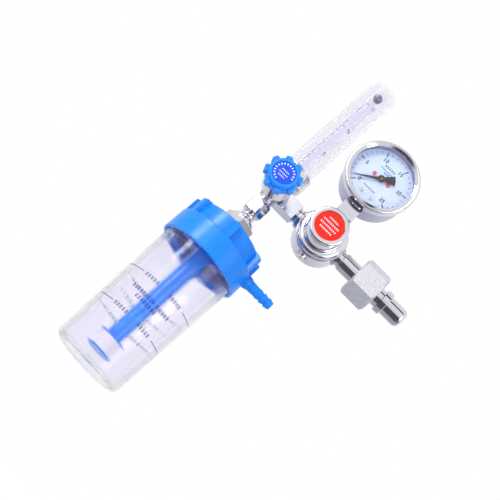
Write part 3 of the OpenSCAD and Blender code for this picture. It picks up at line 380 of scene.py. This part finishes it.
def bar(bm, x0, x1, z0, z1, steps=1):
    """A flat bar between two corners, cut into steps so that it can bend."""
    place = Matrix.Translation(((x0 + x1) / 2, (z0 + z1) / 2, 0)) @ Matrix.Diagonal((x1 - x0, z1 - z0, 1, 1))
    bmesh.ops.create_grid(bm, x_segments=steps, y_segments=1, size=0.5, matrix=place)


def letters(bm, text, x, z, height, turn=0.0):
    """Plain characters centred on a point."""
    curve = bpy.data.curves.new("letters", "FONT")
    curve.body = text
    curve.size = height * 1.4
    curve.offset = 0.025 * height
    curve.align_x = "CENTER"
    curve.align_y = "CENTER"
    held = bpy.data.objects.new("letters", curve)
    scene.collection.objects.link(held)
    mesh = bpy.data.meshes.new_from_object(held.evaluated_get(bpy.context.evaluated_depsgraph_get()))
    place = Matrix.Translation((x, z, 0)) @ Matrix.Rotation(turn, 4, "Z")
    mesh.transform(place)
    bm.from_mesh(mesh)
    bpy.data.meshes.remove(mesh)
    bpy.data.objects.remove(held)
    bpy.data.curves.remove(curve)


def dashes(bm, x0, x1, z, tall, dash, gap, steps=1):
    """A row of short bars, which stands where the real one has a line of words."""
    while x0 < x1:
        bar(bm, x0, min(x0 + dash, x1), z - tall / 2, z + tall / 2, steps)
        x0 += dash + gap


def blanks(bm, x0, z, tall, pitch, count, stroke=0.5 * MM):
    """A word's worth of empty frames, one in place of each character."""
    wide = 0.56 * pitch
    for i in range(count):
        left = x0 + i * pitch
        for low in (z - tall / 2, z + tall / 2 - stroke):
            bar(bm, left, left + wide, low, low + stroke, 2)
        for side in (left, left + wide - stroke):
            bar(bm, side, side + stroke, z - tall / 2 + stroke, z + tall / 2 - stroke)


def printed(name, bm, body, ink_finish, lay):
    """Lays the flat marks on their surface and gives them the ink's thickness."""
    for vert in bm.verts:
        vert.co = lay(vert.co.x, vert.co.y)
    bmesh.ops.recalc_face_normals(bm, faces=bm.faces[:])
    bmesh.ops.solidify(bm, geom=bm.faces[:], thickness=INK)
    mesh = bpy.data.meshes.new(name)
    bm.to_mesh(mesh)
    bm.free()
    piece = bpy.data.objects.new(name, mesh)
    scene.collection.objects.link(piece)
    mesh.materials.append(ink_finish)
    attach(piece, body)
    print(name, len(mesh.polygons), "faces")
    return piece


def on_cylinder(axis_x, radius, middle=0.0):
    """Wraps the plane round an upright cylinder, seen from the front."""
    def lay(x, z):
        angle = x / radius + math.radians(middle)
        return Vector((axis_x + radius * math.sin(angle), -radius * math.cos(angle), z))
    return lay


def on_front(centre_x, y, centre_z):
    """Lays the plane on a flat face that looks to the front."""
    def lay(x, z):
        return Vector((centre_x + x, y, centre_z + z))
    return lay

print("print helpers ready")

# %% [markdown]
# ## Dial
# The scale runs through 270 degrees from the lower left, with a long mark and a number
# at every fifth step. The maker's words are left off.

# %% Dial scale
dial_low, dial_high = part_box("gauge_dial")
gauge_x = (dial_low.x + dial_high.x) / 2
gauge_z = (dial_low.z + dial_high.z) / 2
dial_face = dial_low.y - 2 * INK


def spoke(bm, clockwise, half, inner, outer):
    """A short radial mark at an angle from the top."""
    first = len(bm.verts)
    bar(bm, -half, half, inner, outer)
    bmesh.ops.rotate(bm, cent=(0, 0, 0), matrix=Matrix.Rotation(-clockwise, 3, "Z"), verts=bm.verts[first:])


scale = bmesh.new()
small = bmesh.new()
for step in range(26):
    clockwise = math.radians(-135 + step * 270 / 25)
    if step % 5:
        spoke(small, clockwise, 0.24 * MM, 22.7 * MM, 24.6 * MM)
        continue
    spoke(scale, clockwise, 0.42 * MM, 20.6 * MM, 24.6 * MM)
    letters(scale, str(step), 17.4 * MM * math.sin(clockwise), 17.4 * MM * math.cos(clockwise), 3.4 * MM)
printed("dial_scale", scale, "regulator", dial_ink, on_front(gauge_x, dial_face, gauge_z))

# %% Small marks, the blue line and the rows of dashes
dashes(small, -5.4 * MM, 4.6 * MM, 12.2 * MM, 1.9 * MM, 1.3 * MM, 0.8 * MM)
dashes(small, -2.2 * MM, 3.4 * MM, 6.6 * MM, 1.6 * MM, 1.1 * MM, 0.6 * MM)
dashes(small, -7.2 * MM, 4.6 * MM, -12.4 * MM, 1.3 * MM, 1.0 * MM, 0.5 * MM)
for step in range(-11, 12):
    if abs(step) > 1:
        spoke(small, math.radians(180 + step * 3.2), 0.3 * MM, 23.2 * MM, 24.2 * MM)
printed("dial_small_marks", small, "regulator", grey_ink_and_slot_shade, on_front(gauge_x, dial_face, gauge_z))

bm = bmesh.new()
bar(bm, -7.4 * MM, 4.4 * MM, 8.5 * MM, 9.2 * MM)
printed("dial_line", bm, "regulator", light_blue_ink, on_front(gauge_x, dial_face, gauge_z))

# %% Painted shade of the slots in the two grey dial screws
head_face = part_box("dial_screws")[0].y - 1.5 * INK
bm = bmesh.new()
# The slots are not cut. A thin grey bar painted on each head stands in for the shade inside its slot.
for node_x, node_z, turned in ((-11.9, -11.2, 20), (-3.4, -18.6, 65)):
    first = len(bm.verts)
    bar(bm, -1.3 * MM, 1.3 * MM, -0.25 * MM, 0.25 * MM)
    bmesh.ops.rotate(bm, cent=(0, 0, 0), matrix=Matrix.Rotation(math.radians(turned), 3, "Z"), verts=bm.verts[first:])
    bmesh.ops.translate(bm, vec=(node_x * MM, node_z * MM, 0), verts=bm.verts[first:])
printed("painted_slot_shade", bm, "regulator", grey_ink_and_slot_shade, on_front(gauge_x, head_face, gauge_z))

# %% [markdown]
# ## Flow scale
# The metering tube carries a comb of marks, one for each litre a minute, with a
# number at every fifth one. It sits a little to the left of the middle.

# %% Flow scale on the metering tube
meter_low, meter_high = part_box("metering_tube")
valve_x = (meter_low.x + meter_high.x) / 2
meter_r = (meter_high.x - meter_low.x) / 2
bm = bmesh.new()
LITRE = 5.9 * MM
first = 22.0 * MM
spine = -4.2 * MM
bar(bm, spine - 0.2 * MM, spine + 0.2 * MM, first + LITRE, first + 15 * LITRE)
for litre in range(1, 16):
    z = first + litre * LITRE
    long = litre % 5 == 0
    bar(bm, spine, spine + (4.4 if long else 3.0) * MM, z - 0.2 * MM, z + 0.2 * MM, 6)
    if litre < 15:
        bar(bm, spine, spine + 1.6 * MM, z + LITRE / 2 - 0.15 * MM, z + LITRE / 2 + 0.15 * MM, 3)
    if long:
        letters(bm, str(litre), 4.6 * MM, z, 3.2 * MM)
printed("flow_scale", bm, "regulator", scale_ink, on_cylinder(valve_x, meter_r + 1.5 * INK))

# %% [markdown]
# ## Water level lines
# Two pairs of short lines mark the upper and the lower water level, once on the front
# of the bottle and once on its back. Empty frames stand in for the words between them.

# %% Level lines on the bottle
bottle_low, bottle_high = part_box("bottle")
rim_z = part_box("bottle_cap")[0].z
top_r = (bottle_high.x - bottle_low.x) / 2
foot_r = 29.9 * MM
foot_z = bottle_low.z + 5 * MM


def bottle_radius(z):
    """The bottle widens evenly from its foot to the cap."""
    return foot_r + (top_r - foot_r) * (z - foot_z) / (rim_z - foot_z)


def on_bottle(middle):
    def lay(x, z):
        angle = x / top_r + math.radians(middle)
        radius = bottle_radius(z) + 1.5 * INK
        return Vector((valve_x + radius * math.sin(angle), -radius * math.cos(angle), z))
    return lay


for side, middle in (("front", 8), ("back", 188)):
    bm = bmesh.new()
    for level in (-122.3 * MM, -151.6 * MM):
        for start, end in ((-72, -38), (38, 72)):
            bar(bm, math.radians(start) * top_r, math.radians(end) * top_r, level - 0.25 * MM, level + 0.25 * MM, 16)
        blanks(bm, -19.5 * MM, level, 2.7 * MM, 2.8 * MM, 5)
        blanks(bm, 5 * MM, level, 2.7 * MM, 2.7 * MM, 5)
    blanks(bm, -19.6 * MM, -133.9 * MM, 2.7 * MM, 2.5 * MM, 9)
    blanks(bm, 4.6 * MM, -133.9 * MM, 2.7 * MM, 2.9 * MM, 5)
    blanks(bm, -12.2 * MM, -138.4 * MM, 2.7 * MM, 2.6 * MM, 8)
    printed("level_lines_" + side, bm, "bottle", ink, on_bottle(middle))

# %% [markdown]
# ## Neck thread
# The bottle screws into the cap on a fine moulded thread. It is one ridge swept round
# the neck while it climbs, made with the spin tool.

# %% Thread on the bottle's neck
THREAD_PITCH = 1.5 * MM
thread_low = rim_z + 4.0 * MM
turns = 5.2
neck_r = 29.6 * MM
steps = int(turns * 48)
bm = bmesh.new()
profile = [bm.verts.new((valve_x + r, 0, z)) for r, z in (
    (neck_r - 0.2 * MM, thread_low - 0.6 * MM), (neck_r + 0.7 * MM, thread_low - 0.12 * MM),
    (neck_r + 0.7 * MM, thread_low + 0.12 * MM), (neck_r - 0.2 * MM, thread_low + 0.6 * MM))]
start_face = bm.faces.new(profile)
bmesh.ops.spin(bm, geom=[start_face], cent=(valve_x, 0, 0), axis=(0, 0, 1), angle=turns * 2 * math.pi,
               dvec=(0, 0, THREAD_PITCH * turns / steps), steps=steps, use_duplicate=False)
bmesh.ops.recalc_face_normals(bm, faces=bm.faces[:])
mesh = bpy.data.meshes.new("neck_thread")
bm.to_mesh(mesh)
bm.free()
thread = bpy.data.objects.new("neck_thread", mesh)
scene.collection.objects.link(thread)
mesh.materials.append(thread_frost)
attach(thread, "bottle")
print("neck thread:", len(mesh.polygons), "faces")

# %% [markdown]
# ## Marks on the knob and the red label
# Both discs carry the maker's words on the real one. Here the knob has a ring of
# short marks, as a valve dial has, and three rows of dashes, and the label has four
# rows. They fill the same places and say nothing.

# %% Marks on the knob's disc and on the label
disc_low, disc_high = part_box("knob_disc")
bm = bmesh.new()
for step in range(-7, 8):
    spoke(bm, math.radians(step * 18 - 40), 0.45 * MM, 6.6 * MM, 8.2 * MM)
for row, half in ((1.7, 3.4), (-0.9, 4.0), (-3.4, 3.0)):
    dashes(bm, -half * MM, half * MM, row * MM, 1.0 * MM, 0.8 * MM, 0.6 * MM)
printed("knob_marks", bm, "knob", white_ink, on_front(valve_x, disc_low.y - 2 * INK, 0))

label_x = (label_low.x + label_high.x) / 2
bm = bmesh.new()
for row, half in ((5.2, 4.4), (1.9, 7.2), (-1.4, 7.6), (-4.7, 5.6)):
    dashes(bm, -half * MM, half * MM, row * MM, 1.3 * MM, 1.0 * MM, 0.7 * MM)
printed("label_marks", bm, "regulator", white_ink, on_front(label_x, label_low.y - 2 * INK, 0))

# %% [markdown]
# ## Stage and light
# The photograph is cut out on white, so the floor and the world are white to the
# camera and through clear parts. The floor is a wide disc well below the object. It
# takes the object's shadow, and mirror rays pass it, so that metal sees the studio.

# %% Floor
FLOOR_Z = -0.42
bm = bmesh.new()
bmesh.ops.create_circle(bm, cap_ends=True, radius=4.0, segments=64, matrix=Matrix.Translation((-0.06, 0, FLOOR_Z)))
mesh = bpy.data.meshes.new("floor")
bm.to_mesh(mesh)
bm.free()
floor = bpy.data.objects.new("floor", mesh)
scene.collection.objects.link(floor)
floor_paint = finish("floor_paint", (0.9, 0.9, 0.9, 1), (0.88, 0.88, 0.88, 1), (0.8, 0.9), 20)
tree = floor_paint.node_tree
path = add(tree, "ShaderNodeLightPath")
lift = add(tree, "ShaderNodeEmission")
lift.inputs["Strength"].default_value = 0.45
nothing = add(tree, "ShaderNodeEmission")
nothing.inputs["Strength"].default_value = 0.0
by_camera = add(tree, "ShaderNodeMixShader")
tree.links.new(path.outputs["Is Camera Ray"], by_camera.inputs["Fac"])
tree.links.new(nothing.outputs["Emission"], by_camera.inputs[1])
tree.links.new(lift.outputs["Emission"], by_camera.inputs[2])
lit = add(tree, "ShaderNodeAddShader")
tree.links.new(tree.nodes["Principled BSDF"].outputs["BSDF"], lit.inputs[0])
tree.links.new(by_camera.outputs["Shader"], lit.inputs[1])
passed = add(tree, "ShaderNodeMath", operation="MAXIMUM")
tree.links.new(path.outputs["Is Glossy Ray"], passed.inputs[0])
tree.links.new(path.outputs["Is Transmission Ray"], passed.inputs[1])
through = add(tree, "ShaderNodeBsdfTransparent")
by_ray = add(tree, "ShaderNodeMixShader")
tree.links.new(passed.outputs["Value"], by_ray.inputs["Fac"])
tree.links.new(lit.outputs["Shader"], by_ray.inputs[1])
tree.links.new(through.outputs["BSDF"], by_ray.inputs[2])
tree.links.new(by_ray.outputs["Shader"], tree.nodes["Material Output"].inputs["Surface"])
mesh.materials.append(floor_paint)
print("floor at", FLOOR_Z)

# %% [markdown]
# ## What the metal mirrors
# Chrome takes its whole look from its surroundings. A product studio is a bright tent
# above, a greyer table below, and a few dark or bright cards between them. Mirror
# rays see such a studio here. It is painted by direction alone: a height ramp, then
# cards, each given by its turn, its height and half its width and length in degrees.

# %% Studio cards
def value(tree, operation, first, second=None):
    """One arithmetic node. Each input is a number or a socket."""
    node = add(tree, "ShaderNodeMath", operation=operation)
    for socket, source in zip(node.inputs, (first, second)):
        if isinstance(source, (int, float)):
            socket.default_value = source
        elif source is not None:
            tree.links.new(source, socket)
    return node.outputs["Value"]


def along(tree, direction, axis):
    node = add(tree, "ShaderNodeVectorMath", operation="DOT_PRODUCT")
    node.inputs[1].default_value = axis
    tree.links.new(direction, node.inputs[0])
    return node.outputs["Value"]


def edge(tree, distance, half, soft):
    """One inside a card's half size, falling softly to nothing outside it."""
    node = add(tree, "ShaderNodeMapRange", interpolation_type="SMOOTHSTEP")
    node.inputs["From Min"].default_value = half - soft
    node.inputs["From Max"].default_value = half + soft
    node.inputs["To Min"].default_value = 1.0
    node.inputs["To Max"].default_value = 0.0
    tree.links.new(distance, node.inputs["Value"])
    return node.outputs["Result"]


def card(tree, direction, under, turn, height, wide, tall, soft, colour):
    """Lays a card of one colour over what is already seen in a direction."""
    turn, height = math.radians(turn), math.radians(height)
    ahead = Vector((math.sin(turn) * math.cos(height), -math.cos(turn) * math.cos(height), math.sin(height)))
    side = Vector((math.cos(turn), math.sin(turn), 0))
    depth = value(tree, "MAXIMUM", along(tree, direction, ahead), 0.001)
    across = value(tree, "ABSOLUTE", value(tree, "DIVIDE", along(tree, direction, side), depth))
    up = value(tree, "ABSOLUTE", value(tree, "DIVIDE", along(tree, direction, side.cross(ahead)), depth))
    mask = value(tree, "MULTIPLY", edge(tree, across, math.tan(math.radians(wide)), soft),
                 edge(tree, up, math.tan(math.radians(tall)), soft))
    mix = add(tree, "ShaderNodeMix", data_type="RGBA")
    mix.inputs["B"].default_value = (*colour, 1)
    tree.links.new(mask, mix.inputs["Factor"])
    tree.links.new(under, mix.inputs["A"])
    return mix.outputs["Result"]

print("card helper ready")

# %% World
world = bpy.data.worlds.new("studio")
scene.world = world
world.use_nodes = True
tree = world.node_tree
tree.nodes.clear()
place = add(tree, "ShaderNodeTexCoord")
direction = place.outputs["Generated"]
ramp = add(tree, "ShaderNodeValToRGB")
tree.links.new(value(tree, "MULTIPLY_ADD", along(tree, direction, (0, 0, 1)), 0.5), ramp.inputs["Fac"])
ramp.inputs["Fac"].links[0].from_node.inputs[2].default_value = 0.5
TENT = [(-90, 0.46), (-60, 0.46), (-45, 0.48), (-30, 0.58), (-18, 0.74), (-4, 0.86), (20, 0.92), (60, 0.9)]
band = ramp.color_ramp
while len(band.elements) > 1:
    band.elements.remove(band.elements[0])
for index, (height, bright) in enumerate(TENT):
    position = 0.5 + 0.5 * math.sin(math.radians(height))
    element = band.elements[0] if index == 0 else band.elements.new(position)
    element.position = position
    shade = 1 - bright
    element.color = (bright - 0.1 * shade * bright, bright - 0.08 * shade * bright, bright + 0.1 * shade * bright, 1)
CARDS = [
    (-60, -20, 24, 14, 0.1, (1.0, 1.0, 1.0)),
    (75, -38, 28, 16, 0.15, (0.2, 0.2, 0.24)),
    (-3, -37, 26, 17, 0.06, (0.10, 0.085, 0.09)),
    (8, -68, 18, 18, 0.1, (0.10, 0.09, 0.10)),
    (-4, 48, 20, 8, 0.03, (0.05, 0.04, 0.04)),
    (-30, 75, 10, 5, 0.04, (0.07, 0.05, 0.05)),
    (-15, 22, 4, 13, 0.03, (4.5, 4.5, 4.5)),
]
seen = ramp.outputs["Color"]
for turn_by, height, wide, tall, soft, colour in CARDS:
    seen = card(tree, direction, seen, turn_by, height, wide, tall, soft, colour)
glossy = add(tree, "ShaderNodeBackground")
tree.links.new(seen, glossy.inputs["Color"])
plain = add(tree, "ShaderNodeBackground")
plain.inputs["Color"].default_value = (1, 1, 1, 1)
soft = add(tree, "ShaderNodeBackground")
soft.inputs["Color"].default_value = (0.98, 0.98, 1, 1)
soft.inputs["Strength"].default_value = 0.66
path = add(tree, "ShaderNodeLightPath")
by_gloss = add(tree, "ShaderNodeMixShader")
tree.links.new(path.outputs["Is Glossy Ray"], by_gloss.inputs["Fac"])
tree.links.new(soft.outputs["Background"], by_gloss.inputs[1])
tree.links.new(glossy.outputs["Background"], by_gloss.inputs[2])
open_view = value(tree, "MAXIMUM", path.outputs["Is Camera Ray"], path.outputs["Is Transmission Ray"])
by_view = add(tree, "ShaderNodeMixShader")
tree.links.new(open_view, by_view.inputs["Fac"])
tree.links.new(by_gloss.outputs["Shader"], by_view.inputs[1])
tree.links.new(plain.outputs["Background"], by_view.inputs[2])
output = add(tree, "ShaderNodeOutputWorld")
tree.links.new(by_view.outputs["Shader"], output.inputs["Surface"])
print("world:", len(tree.nodes), "nodes,", len(CARDS), "cards")

# %% [markdown]
# ## Lamps
# Two soft lamps shape the blue plastic and give it its highlights: a tall one near the
# camera's left and a weaker, wider one on the right.

# %% Lamps
def lamp(name, place, size, power):
    data = bpy.data.lights.new(name, "AREA")
    data.shape = "RECTANGLE"
    data.size, data.size_y = size
    data.energy = power
    thing = bpy.data.objects.new(name, data)
    scene.collection.objects.link(thing)
    place = Vector(place)
    aim = Vector((-0.09, 0, -0.03)) - place
    thing.matrix_world = Matrix.Translation(place) @ aim.to_track_quat("-Z", "Y").to_matrix().to_4x4()
    return thing


lamp("key", (-0.9, -0.9, 0.5), (0.3, 0.7), 10)
lamp("fill", (0.9, -0.8, -0.1), (0.6, 0.9), 4)
print("lamps ready")

# %% Plain picture settings
scene.view_settings.view_transform = "Standard"
